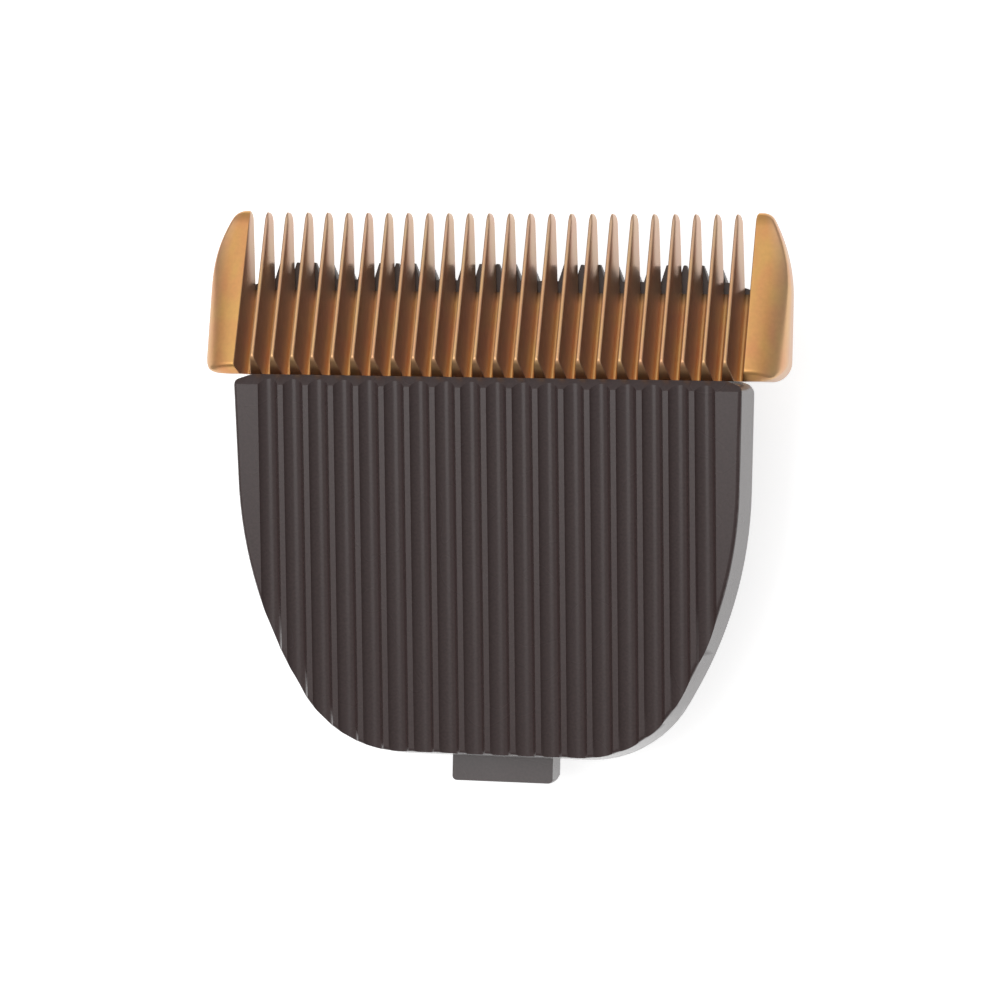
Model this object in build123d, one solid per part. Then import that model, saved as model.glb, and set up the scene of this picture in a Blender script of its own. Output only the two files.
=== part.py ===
"""Detachable blade head of a hair clipper, lying on its back with the fluted shield up.

A steel comb is ground with V grooves, a ceramic cutter slides under it, and one moulded holder
carries both. X runs along the row of teeth, Y points to the tooth tips and Z is up.
All lengths are in millimetres, all angles in degrees.
"""

import math
import os

from build123d import *

# Comb, the fixed blade
tooth_count = 24
tooth_pitch = 1.6
comb_width = 45.4
comb_length = 12.42
tooth_setback = 0.12
tip_thickness = 0.55
tip_radius = 0.3
tip_facets = 8
nose_height = 0.3
nose_angle = 50.0
ridge_angle = 14.1
ridge_land = 0.2
groove_depth = 2.1
groove_floor = 0.3
comb_rear_radius = 1.7
comb_rear_fall = 1.4
cheek_crown_width = 3.0
cheek_bow_length = 6.4
cheek_bow_radius = 12.3
cheek_tip_radius = 1.05
cheek_rear_radius = 1.5
cheek_draft = 8.0
flange_width = 24.4
flange_length = 6.4
flange_thickness = 1.1
flange_overlap = 0.8
flange_corner = 1.5

# Cutter, the moving blade
cutter_pitch = 1.322
cutter_side_teeth = 13
cutter_setback = 3.9
cutter_tooth_length = 1.25
cutter_tip_width = 0.2
cutter_valley_width = 0.36
cutter_thickness = 1.8
cutter_tip_thickness = 0.4
cutter_bevel_length = 2.6
cutter_width = 39.6
cutter_bar_depth = 7.5
cutter_depth = 10.4
cutter_tail_width = 21.0
cutter_shoulder = 0.6
cutter_rest_offset = -0.2

# Driver, the slider under the cutter
driver_width = 26.0
driver_depth = 5.4
driver_bar_height = 2.35
driver_block_width = 9.0
driver_block_depth = 7.0
driver_block_drop = 3.4
driver_slot_width = 4.6
driver_slot_height = 4.8
driver_corner = 0.8
peg_diameter = 2.4
peg_height = 1.2
peg_spacing = 16.0

# Holder: shield, plug frame and tongue
shield_width = 39.5
shield_length = 27.88
shield_rise = 3.66
shield_slope = 6.84
shield_skin = 1.7
shield_rim_depth = 2.9
shield_rim_wall = 1.5
shield_draft = 5.5
shield_edge_radius = 0.3
shield_corner_run = 1.5
shield_corner_fall = 0.5
shield_corner_radius = 0.5
shield_bevel_length = 0.8
shield_bevel_angle = 40.0
shoulder_width = 38.2
shoulder_distance = 15.8
shoulder_radius = 31.0
foot_width = 24.0
foot_radius = 8.7
flute_count = 18
flute_pitch = 2.0
flute_land = 0.42
flute_depth = 0.42
plug_inset = 4.0
plug_wall = 1.5
plug_reach = 2.5
plug_front_height = 4.5
catch_length = 4.0
catch_depth = 0.5
catch_height = 2.4
catch_level = 2.0
tongue_width = 7.94
tongue_thickness = 2.0
tongue_proud = 2.59
tongue_level = 3.25
tongue_corner = 0.35
tongue_lead = 0.6

# Tension spring
wire_diameter = 0.9
spring_width = 18.0
spring_root_y = -7.0
spring_bend = 1.6
spring_reach = 1.6
hook_spacing = 9.0
hook_width = 1.6
hook_thickness = 1.0

# Screws
screw_spacing = 16.0
screw_setback = 4.8
screw_diameter = 2.0
screw_head_diameter = 3.8
screw_head_height = 1.0
screw_head_chamfer = 0.35
screw_thread_depth = 1.1
screw_recess_width = 0.5
screw_recess_length = 2.2
screw_recess_depth = 0.55
boss_diameter = 4.6

# Levels and clearances
cutting_plane = 9.0
running_gap = 0.05
fit_gap = 0.05
seam_gap = 0.1
moving_gap = 0.3
overrun = 1.0

# Places worked out from the sizes above
shield_rear_y = -(comb_length + seam_gap + shield_length - tongue_proud) / 2
tongue_end_y = shield_rear_y - tongue_proud
tip_y = tongue_end_y + comb_length + seam_gap + shield_length + tongue_proud
comb_rear_y = tip_y - comb_length
shield_front_y = comb_rear_y - seam_gap
groove_count = tooth_count + 1
cutter_top = cutting_plane - running_gap
cutter_back = cutter_top - cutter_thickness
cutter_tip_y = tip_y - cutter_setback
cutter_valley_y = cutter_tip_y - cutter_tooth_length
cutter_rear_y = cutter_tip_y - cutter_depth
driver_bottom = cutter_back - driver_bar_height
plug_front_y = shield_front_y + plug_reach
driver_front_y = plug_front_y + moving_gap + overrun
driver_rear_y = driver_front_y - driver_depth
flange_rear_y = comb_rear_y - flange_length
screw_y = comb_rear_y - screw_setback
wire_radius = wire_diameter / 2
LARGE = 4 * comb_width

# The shield's face falls away from the comb; its plane passes through the front edge
face_plane = Plane(
    origin=(0, shield_front_y, cutting_plane + shield_rise),
    x_dir=(1, 0, 0),
    z_dir=(0, -math.sin(math.radians(shield_slope)), math.cos(math.radians(shield_slope))),
)


def face_level(y, depth=0.0):
    """Height of the plane that lies this deep under the shield's lands."""
    fall = (shield_front_y - y) * math.tan(math.radians(shield_slope))
    return cutting_plane + shield_rise - fall - depth / math.cos(math.radians(shield_slope))


def above_face(depth):
    """Everything above the plane that lies this deep under the shield's lands."""
    return extrude(face_plane.offset(-depth) * Rectangle(LARGE, LARGE), amount=LARGE)


def below_face(depth):
    """Everything below the plane that lies this deep under the shield's lands."""
    return extrude(face_plane.offset(-depth) * Rectangle(LARGE, LARGE), amount=-LARGE)


def prism_along_x(points, width):
    """A solid of constant side profile, given as (Y, Z) points, centred on X = 0."""
    return extrude(Plane.YZ * Polygon(*points, align=None), amount=width / 2, both=True)


def both_sides(solid):
    """The solid and its mirror image across the middle of the head."""
    return [solid, mirror(solid, about=Plane.YZ)]


def ridge_height(y):
    """Height of the tooth ridges above the cutting plane."""
    return tip_thickness + (tip_y - y) * math.tan(math.radians(ridge_angle))


def crown_section(y):
    """Cross-section of the comb at Y: flat over the teeth, crowned over both cheeks."""
    half = comb_width / 2
    flat = half - cheek_crown_width
    height = ridge_height(y)
    crown = EllipticalCenterArc((flat, 0), cheek_crown_width, height, arc_size=90)
    wall = Line((half, -overrun), (half, 0))
    top = Line((0, height), (flat, height))
    bottom = Line((0, -overrun), (half, -overrun))
    right = [bottom, wall, crown, top]
    outline = right + [mirror(edge, about=Plane.YZ) for edge in right]
    return Pos(0, y, cutting_plane) * (Plane.XZ * make_face(outline))


def comb_plan(rear_y):
    """Outline of the comb from above: straight behind, bowed in towards the tips."""
    half = comb_width / 2
    bow_y = tip_y - cheek_bow_length
    bow_in = cheek_bow_radius - math.sqrt(cheek_bow_radius**2 - cheek_bow_length**2)
    back = Line((0, rear_y), (half, rear_y))
    side = Line((half, rear_y), (half, bow_y))
    bow = TangentArc((half, bow_y), (half - bow_in, tip_y), tangent=(0, 1))
    front = Line((half - bow_in, tip_y), (0, tip_y))
    right = [back, side, bow, front]
    plan = make_face(right + [mirror(edge, about=Plane.YZ) for edge in right])
    corners = [v for v in plan.vertices() if abs(v.X) > half - 2 * bow_in]
    plan = fillet([v for v in corners if abs(v.Y - tip_y) < fit_gap], cheek_tip_radius)
    rear = [v for v in plan.vertices() if abs(v.Y - rear_y) < fit_gap and abs(v.X) > half - fit_gap]
    return fillet(rear, cheek_rear_radius)


def comb_side():
    """Side profile of the comb: a wedge with a blunt nose and a rounded back."""
    slope = math.radians(ridge_angle)
    nose_run = (tip_thickness - nose_height) / (math.tan(math.radians(nose_angle)) - math.tan(slope))
    fall_run = math.sqrt(comb_rear_radius**2 - (comb_rear_radius - comb_rear_fall) ** 2)
    crest_y = comb_rear_y + (fall_run - comb_rear_radius) * math.cos(slope)
    crest = ridge_height(crest_y)
    profile = Polygon(
        (crest_y - crest * math.tan(slope), 0),
        (tip_y, 0),
        (tip_y, nose_height),
        (tip_y - nose_run, ridge_height(tip_y - nose_run)),
        (crest_y, crest),
        align=None,
    )
    profile = fillet(profile.vertices().sort_by(Axis.Y)[-1], comb_rear_radius)
    return extrude(Pos(0, 0, cutting_plane) * (Plane.YZ * profile), amount=comb_width, both=True)


def comb_blank():
    """The comb before its grooves are ground."""
    crown = loft([crown_section(comb_rear_y - overrun), crown_section(tip_y + overrun)], ruled=True)
    height = ridge_height(comb_rear_y - overrun)
    drafted_plan = comb_plan(comb_rear_y - comb_length)
    drafted = extrude(Pos(0, 0, cutting_plane) * drafted_plan, amount=height, taper=cheek_draft)
    upright = extrude(Pos(0, 0, cutting_plane) * comb_plan(comb_rear_y), amount=height)
    return crown & drafted & upright & comb_side()


def comb_grooves():
    """The V grooves, ground along the slope of the ridges, that leave the teeth standing."""
    flank = (tooth_pitch - ridge_land - groove_floor) / 2 / groove_depth
    grind_plane = Plane(
        origin=(0, tip_y, cutting_plane + tip_thickness),
        x_dir=(1, 0, 0),
        z_dir=(0, -math.cos(math.radians(ridge_angle)), math.sin(math.radians(ridge_angle))),
    ).offset(-overrun)
    mouth = groove_floor / 2 + (groove_depth + overrun) * flank
    section = Polygon(
        (-mouth, overrun),
        (-groove_floor / 2, -groove_depth),
        (groove_floor / 2, -groove_depth),
        (mouth, overrun),
        align=None,
    )
    sections = [Pos((i - (groove_count - 1) / 2) * tooth_pitch, 0) * section for i in range(groove_count)]
    return [extrude(grind_plane * groove, amount=comb_length + 4 * overrun) for groove in sections]


def tooth_tip_waste():
    """What the rounding of the tooth tips takes off, seen from above."""
    centre_y = tip_y - tooth_setback - tip_radius
    reach = tooth_setback + tip_radius + overrun
    mouth = Pos(0, centre_y + reach / 2) * Rectangle(tooth_count * tooth_pitch, reach)
    places = [((i - (tooth_count - 1) / 2) * tooth_pitch, centre_y) for i in range(tooth_count)]
    tip = RegularPolygon(tip_radius, tip_facets, major_radius=False, rotation=180 / tip_facets)
    waste = mouth - [Pos(x, y) * tip for x, y in places]
    return extrude(waste, amount=LARGE / 2, both=True)


def screw_places(level):
    """The two screws' places at a given height."""
    return [Pos(x, screw_y, level) for x in (-screw_spacing / 2, screw_spacing / 2)]


def make_fixed_blade():
    """Titanium-coated steel comb with the flange that the holder clamps."""
    blade = comb_blank() - comb_grooves() - tooth_tip_waste()
    length = flange_length + flange_overlap
    plan = Pos(0, flange_rear_y + length / 2) * Rectangle(flange_width, length)
    plan = fillet(plan.vertices().group_by(Axis.Y)[0], flange_corner)
    flange = extrude(Pos(0, 0, cutting_plane) * plan, amount=flange_thickness)
    hole = Cylinder(screw_diameter / 2 + fit_gap, 4 * flange_thickness)
    return blade + flange - [place * hole for place in screw_places(cutting_plane)]


def cutter_plan():
    """Outline of the cutter: a toothed bar with sloped shoulders and a narrower tail."""
    bar_half = cutter_width / 2
    tail_half = cutter_tail_width / 2
    teeth_half = (cutter_side_teeth + 1 / 2) * cutter_pitch
    bar_rear_y = cutter_tip_y - cutter_bar_depth
    right = [
        (tail_half, cutter_rear_y),
        (tail_half, bar_rear_y - cutter_shoulder),
        (tail_half + cutter_shoulder, bar_rear_y),
        (bar_half, bar_rear_y),
        (bar_half, cutter_valley_y - cutter_shoulder),
        (teeth_half, cutter_valley_y),
        (teeth_half, cutter_tip_y),
    ]
    left = [(-x, y) for x, y in reversed(right)]
    plan = Polygon(*right, *left, align=None)
    mouth_half = (cutter_pitch - cutter_tip_width) / 2
    floor_half = cutter_valley_width / 2
    flank = (mouth_half - floor_half) / cutter_tooth_length
    gap = Polygon(
        (-mouth_half - flank * overrun, cutter_tip_y + overrun),
        (-floor_half, cutter_valley_y),
        (floor_half, cutter_valley_y),
        (mouth_half + flank * overrun, cutter_tip_y + overrun),
        align=None,
    )
    gap_count = 2 * cutter_side_teeth + 2
    return plan - [Pos((k - (gap_count - 1) / 2) * cutter_pitch, 0) * gap for k in range(gap_count)]


def make_moving_blade():
    """Black ceramic cutter, bevelled on its back towards the tooth tips."""
    plan = extrude(Pos(cutter_rest_offset, 0, 0) * cutter_plan(), amount=LARGE / 2)
    side = prism_along_x(
        [
            (cutter_tip_y + overrun, cutter_top),
            (cutter_tip_y + overrun, cutter_top - cutter_tip_thickness),
            (cutter_tip_y, cutter_top - cutter_tip_thickness),
            (cutter_tip_y - cutter_bevel_length, cutter_back),
            (cutter_rear_y - overrun, cutter_back),
            (cutter_rear_y - overrun, cutter_top),
        ],
        LARGE,
    )
    hole = Cylinder(peg_diameter / 2 + fit_gap, 4 * cutter_thickness)
    return (plan & side) - [place * hole for place in peg_places(cutter_back)]


def peg_places(level):
    """The two places where the driver is pegged into the cutter."""
    y = (driver_front_y + driver_rear_y) / 2 + driver_corner
    return [Pos(cutter_rest_offset + x, y, level) for x in (-peg_spacing / 2, peg_spacing / 2)]


def make_cutter_driver():
    """Moulded slider: a bar pegged to the cutter and a block with the slot for the eccentric pin."""
    bar_plan = Pos(cutter_rest_offset, (driver_front_y + driver_rear_y) / 2) * RectangleRounded(
        driver_width, driver_depth, driver_corner
    )
    bar = extrude(Pos(0, 0, driver_bottom) * bar_plan, amount=driver_bar_height)
    block_front_y = plug_front_y - plug_wall - moving_gap
    block_plan = Pos(cutter_rest_offset, block_front_y - driver_block_depth / 2) * RectangleRounded(
        driver_block_width, driver_block_depth, driver_corner
    )
    block_bottom = driver_bottom - driver_block_drop
    block = extrude(Pos(0, 0, block_bottom) * block_plan, amount=cutter_back - block_bottom)
    slot = Pos(cutter_rest_offset, block_front_y - driver_block_depth / 2, block_bottom) * Box(
        driver_slot_width, driver_block_depth + overrun, 2 * driver_slot_height
    )
    peg = Pos(0, 0, peg_height / 2) * Cylinder(peg_diameter / 2, peg_height)
    return bar + block - slot + [place * peg for place in peg_places(cutter_back)]


def shield_plan(front_y):
    """Outline of the shield, straight across the front and rounded to a narrow foot."""
    taper = (shield_width - shoulder_width) / 2 / shoulder_distance
    front_half = shield_width / 2 + taper * (front_y - shield_front_y)
    shoulder_y = shield_front_y - shoulder_distance
    right = [
        (foot_width / 2, shield_rear_y),
        (shoulder_width / 2, shoulder_y),
        (front_half, front_y - shield_corner_fall),
        (front_half - shield_corner_run, front_y),
    ]
    left = [(-x, y) for x, y in reversed(right)]
    plan = Polygon(*right, *left, align=None)
    plan = fillet(plan.vertices().group_by(Axis.Y)[0], foot_radius)
    shoulders = [v for v in plan.vertices() if abs(v.Y - shoulder_y) < overrun / 10]
    plan = fillet(shoulders, shoulder_radius)
    corners = [v for v in plan.vertices() if v.Y > front_y - shield_corner_fall - fit_gap]
    return fillet(corners, shield_corner_radius)


def shield_flutes():
    """Concave flutes along the face; the flat lands between them are the ribs."""
    chord = flute_pitch - flute_land
    radius = (chord**2 / 4 + flute_depth**2) / (2 * flute_depth)
    flute_plane = Plane(
        origin=face_plane.origin,
        x_dir=(1, 0, 0),
        z_dir=(0, math.cos(math.radians(shield_slope)), math.sin(math.radians(shield_slope))),
    )
    places = [(i - (flute_count - 1) / 2) * flute_pitch for i in range(flute_count)]
    lift = radius - flute_depth
    circles = [Pos(x, -lift) * Circle(radius) for x in places]
    return [extrude(flute_plane * circle, amount=2 * shield_length, both=True) for circle in circles]


def make_shield():
    """The ribbed cover plate with its rim, before the plug frame is added."""
    plan = shield_plan(shield_front_y)
    top_level = face_level(shield_front_y)
    blank = extrude(Pos(0, 0, top_level) * plan, amount=-top_level, taper=-shield_draft)
    front_waste = Pos(0, shield_front_y + LARGE / 2, 0) * Box(LARGE, LARGE, LARGE)
    shield = blank - above_face(0) - below_face(shield_rim_depth) - front_waste
    bevel_plane = Plane(
        origin=(0, shield_front_y - shield_bevel_length, face_level(shield_front_y - shield_bevel_length)),
        x_dir=(1, 0, 0),
        z_dir=(0, math.sin(math.radians(shield_bevel_angle)), math.cos(math.radians(shield_bevel_angle))),
    )
    shield -= extrude(bevel_plane * Rectangle(LARGE, LARGE), amount=LARGE)
    face = [f for f in shield.faces() if f.normal_at().dot(face_plane.z_dir) > 1 - 1e-6][0]
    bevel_start_y = shield_front_y - shield_bevel_length
    rim_edges = [edge for edge in face.edges() if edge.center().Y < bevel_start_y - fit_gap]
    shield = fillet(rim_edges, shield_edge_radius)
    pocket = extrude(offset(plan, -shield_rim_wall), amount=LARGE) - above_face(shield_skin)
    passage_width = flange_width + 2 * seam_gap
    passage = Pos(0, shield_front_y, 0) * Box(
        passage_width, 4 * shield_rim_wall, 2 * LARGE
    ) - above_face(shield_skin)
    return shield - pocket - passage - shield_flutes()


def make_plug_frame():
    """The frame behind the shield that plugs into the clipper, open in the middle."""
    wide_plan = shield_plan(plug_front_y + plug_inset)
    outer = offset(wide_plan, -plug_inset)
    inner = offset(wide_plan, -plug_inset - plug_wall)
    frame = extrude(outer - inner, amount=cutting_plane + shield_rise) - above_face(shield_skin / 2)
    step_y = driver_rear_y - moving_gap
    step = Pos(0, step_y + LARGE / 2, plug_front_height + LARGE / 2) * Box(LARGE, LARGE, LARGE)
    frame -= step
    plug_half = max(v.X for v in outer.vertices())
    catch_section = Polygon(
        (plug_half - plug_wall / 2, catch_level),
        (plug_half, catch_level),
        (plug_half + catch_depth, catch_level + catch_height / 2),
        (plug_half, catch_level + catch_height),
        (plug_half - plug_wall / 2, catch_level + catch_height),
        align=None,
    )
    catch = extrude(Plane.XZ * catch_section, amount=catch_length / 2, both=True)
    return frame + both_sides(catch)


def make_tongue():
    """The tongue that hooks into the clipper's housing, rounded in under its end."""
    root_y = shield_rear_y + plug_inset + plug_wall / 2
    length = root_y - tongue_end_y
    plan = Pos(0, (root_y + tongue_end_y) / 2) * Rectangle(tongue_width, length)
    plan = fillet(plan.vertices().group_by(Axis.Y)[0], tongue_corner)
    tongue = extrude(Pos(0, 0, tongue_level) * plan, amount=tongue_thickness)
    lead = prism_along_x(
        [
            (tongue_end_y - overrun, tongue_level - overrun),
            (tongue_end_y + tongue_lead, tongue_level - overrun),
            (tongue_end_y + tongue_lead, tongue_level),
            (tongue_end_y, tongue_level + tongue_thickness - tongue_lead),
            (tongue_end_y - overrun, tongue_level + tongue_thickness - tongue_lead),
        ],
        LARGE,
    )
    return tongue - lead


def spring_hooks():
    """Two moulded hooks under the shield that hold the spring's cross wire."""
    ceiling = face_level(spring_root_y, shield_skin)
    lip_top = spring_root_level() - wire_radius - fit_gap
    lip_bottom = lip_top - hook_thickness
    back_y = spring_root_y - wire_radius - fit_gap
    hook = prism_along_x(
        [
            (back_y - hook_thickness, ceiling + shield_skin / 2),
            (back_y - hook_thickness, lip_bottom),
            (spring_root_y + wire_radius, lip_bottom),
            (spring_root_y + wire_radius, lip_top),
            (back_y, lip_top),
            (back_y, ceiling + shield_skin / 2),
        ],
        hook_width,
    )
    return both_sides(Pos(hook_spacing / 2, 0, 0) * hook)


def make_blade_holder():
    """The one-piece moulding: shield, plug frame, tongue, screw bosses and spring hooks."""
    seat = cutting_plane + flange_thickness
    boss_top = face_level(screw_y, shield_skin / 2)
    boss = Pos(0, 0, (boss_top - seat) / 2) * Cylinder(boss_diameter / 2, boss_top - seat)
    hole_depth = screw_thread_depth + fit_gap
    hole = Pos(0, 0, hole_depth / 2) * Cylinder(screw_diameter / 2 + fit_gap, hole_depth)
    holder = make_shield() + make_plug_frame() + make_tongue()
    holder = holder + [place * boss for place in screw_places(seat)] + spring_hooks()
    return holder - [place * hole for place in screw_places(seat)]


def spring_root_level():
    """Height of the spring's cross wire, just under the shield."""
    return face_level(spring_root_y, shield_skin) - wire_radius - 2 * fit_gap


def make_tension_spring():
    """Spring wire bent to a U; its two arms press the driver's rear edge up."""
    root = spring_root_level()
    run = driver_rear_y - spring_root_y
    drop = root - driver_bottom + running_gap + wire_radius
    tilt = math.atan2(drop, run)
    drop = root - driver_bottom + (running_gap + wire_radius) / math.cos(tilt)
    end_y = driver_rear_y + spring_reach
    end_z = root - drop * (run + spring_reach) / run
    half = spring_width / 2
    right = [(half, end_y, end_z), (half, spring_root_y, root)]
    left = [(-x, y, z) for x, y, z in reversed(right)]
    path = FilletPolyline(*right, *left, radius=spring_bend)
    section = Plane(origin=path @ 0, z_dir=path % 0) * Circle(wire_radius)
    return sweep(section, path=path)


def make_blade_screws():
    """Two pan-head screws, driven from the back through the flange into the shield's bosses."""
    length = flange_thickness + screw_thread_depth
    shank = Pos(0, 0, length / 2) * Cylinder(screw_diameter / 2, length)
    head = Pos(0, 0, -screw_head_height / 2) * Cylinder(screw_head_diameter / 2, screw_head_height)
    head = chamfer(head.edges().sort_by(Axis.Z)[0], screw_head_chamfer)
    slot = Pos(0, 0, -screw_head_height) * Box(
        screw_recess_length, screw_recess_width, 2 * screw_recess_depth
    )
    screw = shank + head - slot - Rot(0, 0, 90) * slot
    return Compound(children=[place * screw for place in screw_places(cutting_plane)])


def main():
    os.makedirs("parts", exist_ok=True)
    nodes = {
        "fixed_blade": make_fixed_blade,
        "moving_blade": make_moving_blade,
        "cutter_driver": make_cutter_driver,
        "blade_holder": make_blade_holder,
        "tension_spring": make_tension_spring,
        "blade_screws": make_blade_screws,
    }
    for name, make in nodes.items():
        export_step(make(), f"parts/{name}.step")


if __name__ == "__main__":
    main()
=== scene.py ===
import math

import bmesh
import bpy
import numpy as np
from bpy.props import FloatProperty, FloatVectorProperty, IntProperty, PointerProperty
from bpy.types import Operator, Panel, PropertyGroup
from mathutils import Matrix, Vector


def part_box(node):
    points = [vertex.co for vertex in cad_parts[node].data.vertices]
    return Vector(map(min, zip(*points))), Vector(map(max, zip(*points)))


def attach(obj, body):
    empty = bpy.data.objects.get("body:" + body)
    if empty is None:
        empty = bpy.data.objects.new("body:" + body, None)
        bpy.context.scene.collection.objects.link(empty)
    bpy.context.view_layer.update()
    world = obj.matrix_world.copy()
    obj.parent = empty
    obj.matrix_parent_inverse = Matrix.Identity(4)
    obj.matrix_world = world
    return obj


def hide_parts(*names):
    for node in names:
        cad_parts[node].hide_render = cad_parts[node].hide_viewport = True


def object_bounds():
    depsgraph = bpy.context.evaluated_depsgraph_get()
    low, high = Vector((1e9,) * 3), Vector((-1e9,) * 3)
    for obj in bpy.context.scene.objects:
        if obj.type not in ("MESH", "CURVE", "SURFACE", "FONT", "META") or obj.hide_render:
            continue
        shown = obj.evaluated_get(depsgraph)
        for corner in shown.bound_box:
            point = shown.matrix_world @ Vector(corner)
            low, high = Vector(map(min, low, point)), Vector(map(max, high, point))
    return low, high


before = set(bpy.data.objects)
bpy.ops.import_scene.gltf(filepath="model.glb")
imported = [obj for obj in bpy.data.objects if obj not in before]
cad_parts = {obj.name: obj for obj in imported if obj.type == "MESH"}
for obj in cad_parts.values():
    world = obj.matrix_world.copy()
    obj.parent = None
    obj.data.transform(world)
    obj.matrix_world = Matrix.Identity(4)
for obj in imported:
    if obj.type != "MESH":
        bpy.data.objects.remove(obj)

bl_info = {
    "name": "Clipper Blade Head",
    "version": (1, 0, 0),
    "blender": (4, 5, 0),
    "location": "3D View > Sidebar > Blade Head",
    "description": "Dresses the CAD model of a detachable hair clipper blade head for a product picture",
    "category": "Object",
}

# The CAD model's box, and the places on it that the pieces below start from
CAD_LOW, CAD_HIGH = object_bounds()
COMB_LOW, COMB_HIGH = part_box("fixed_blade")
SCREWS_LOW, SCREWS_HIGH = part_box("blade_screws")

MM = 0.001

# Points nearer than this are one point; those of a CAD node's loose triangles are merged more widely
MERGE = 0.0005 * MM
CAD_MERGE = 0.002 * MM

# Faces of a CAD shape that turn less than the first angle are one face, and edges that turn more than the
# second are rounded
FLAT_TURN = math.radians(0.5)
EDGE_TURN = math.radians(28)
EDGE_SEGMENTS = 2

# Edges that turn more than this are shaded sharp
COMB_SHARP = math.radians(45)
SCREW_SHARP = math.radians(35)

# A pattern's values mostly lie between these ends, and its bumps are this deep
PATTERN_ENDS = (0.3, 0.7)
BUMP_DEPTH = 0.01 * MM

# Numbers of rows along the open teeth, the web behind them and its rear, and of points over the cheeks
TOOTH_ROWS, WEB_ROWS, REAR_ROWS = 9, 6, 25
CHEEK_FRONT_ROWS, CHEEK_ROWS, CHEEK_COLUMNS, OUTLINE_POINTS = 14, 12, 30, 24
# The same for the plate's corners and holes and for the screws
CORNER_POINTS, HOLE_POINTS, SCREW_POINTS, DOME_POINTS = 9, 32, 48, 8
# Degrees round a tooth's tip at which it has rows, and how far before the gaps' ends its last open row lies
TIP_TURNS = (6, 15, 25, 36, 48, 61, 75)
GAP_END = 0.005 * MM

# Points up the fillet at a groove's floor, and shares of the flank's height above it that have points
FILLET_POINTS = 3
FLANK_PARTS = (0.35, 0.7, 1)
# Share of grinding and of the floors' painted shade at each point from the groove's middle, over two floor
# points, the fillet and the flank
FLANK_GROUND = (0.0, 0.0, 0.2, 0.6, 1.0, 1.0, 1.0, 1.0)
FLOOR_SHADE_SHARES = (1.0, 1.0, 1.0, 0.5, 0.0, 0.0, 0.0, 0.0)
# Share of grinding at each point over the rounding of a ridge's edge
EDGE_GROUND = (0.6, 0.3, 0.1, 0.0)
# Wear of the coat on the lands, what the tips add to it, and the share of ground finish across a cheek,
# rising towards its outer edge, none below 0
LAND_WEAR, TIP_WEAR = 0.3, 0.5
CHEEK_GROUND_SHARE = (-0.3, 0.75)
# Painted shade on the flanks where the grooves begin, what of it is missing at the rear, and painted shade
# on the floors
FLANK_SHADE, REAR_LOSS, DEEPEST_FLOOR_SHADE = 0.9, 0.3, 0.6
# Most of a ridge's half width that the rounding of its edge takes up
EDGE_SHARE = 0.6


def linear(hex_colour):
    """Linear RGB of an sRGB hex colour."""
    channels = [int(hex_colour[i : i + 2], 16) / 255 for i in (1, 3, 5)]
    return [c / 12.92 if c <= 0.04045 else ((c + 0.055) / 1.055) ** 2.4 for c in channels]


def size(name, description, millimetres):
    """A length that a user can change, kept in metres."""
    return FloatProperty(
        name=name, description=description, default=millimetres * MM, unit="LENGTH", precision=5
    )


def number(name, description, value, unit="NONE"):
    """A number that a user can change."""
    return FloatProperty(name=name, description=description, default=value, unit=unit)


def angle(name, description, degrees):
    """An angle that a user can change."""
    return FloatProperty(
        name=name, description=description, default=math.radians(degrees), subtype="ANGLE", unit="ROTATION"
    )


def colour(name, description, hex_colour):
    """A colour that a user can change."""
    return FloatVectorProperty(
        name=name, description=description, default=linear(hex_colour), subtype="COLOR", min=0, max=1
    )


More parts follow.
